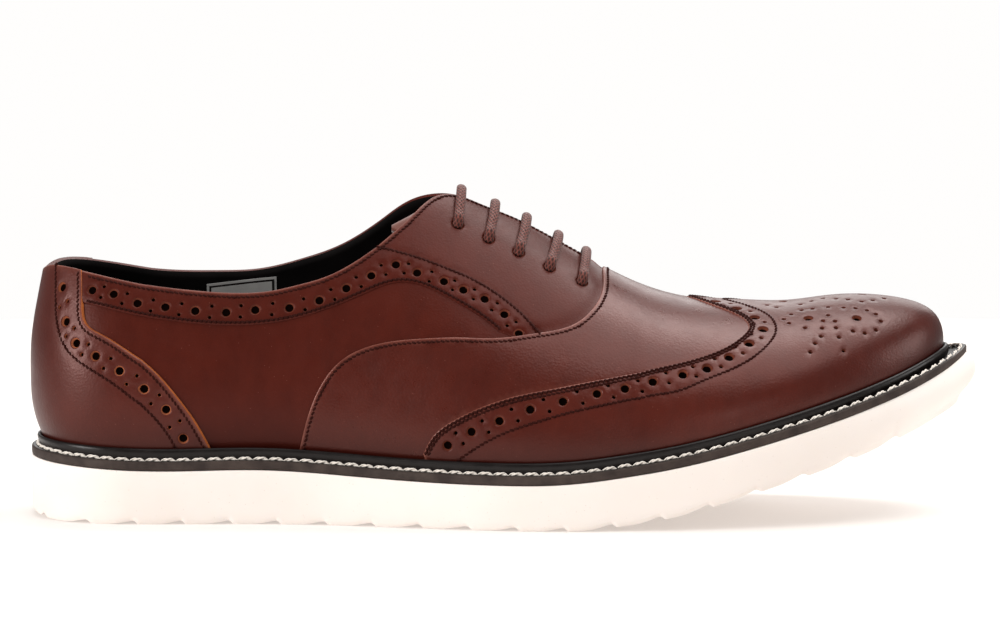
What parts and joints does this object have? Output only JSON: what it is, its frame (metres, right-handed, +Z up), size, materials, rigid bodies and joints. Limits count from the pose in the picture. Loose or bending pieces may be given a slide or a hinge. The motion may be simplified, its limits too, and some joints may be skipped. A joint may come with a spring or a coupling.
{
  "type": "brogue shoe",
  "caption": "Wingtip brogue oxford for the right foot: hollow leather upper with perforated bands, closed lacing, storm welt and a rippled wedge sole with toe spring.",
  "frame": {"origin": "centre of the bounding box on the plane that the sole stands on", "axes": "+X from heel to toe, +Z up, -Y the lateral side of the right foot"},
  "size_m": [0.3059, 0.1083, 0.1066],
  "materials": {
    "sole_cream": "matte",
    "welt_black": "satin",
    "insole_lining": "matte",
    "leather_quarter": "polished",
    "leather_vamp": "polished",
    "leather_cap": "polished",
    "leather_counter": "polished",
    "leather_facing": "polished",
    "leather_tongue": "satin",
    "lace_brown": "waxed"
  },
  "bodies": {
    "root": {"outsole": "sole_cream", "welt": "welt_black", "insole": "insole_lining", "upper": "leather_quarter", "vamp": "leather_vamp", "wing_cap": "leather_cap", "heel_counter": "leather_counter", "facing_lateral": "leather_facing", "facing_medial": "leather_facing", "tongue": "leather_tongue", "lace_bar_1": "lace_brown", "lace_bar_2": "lace_brown", "lace_bar_3": "lace_brown", "lace_bar_4": "lace_brown", "lace_bar_5": "lace_brown"}
  },
  "joints": []
}
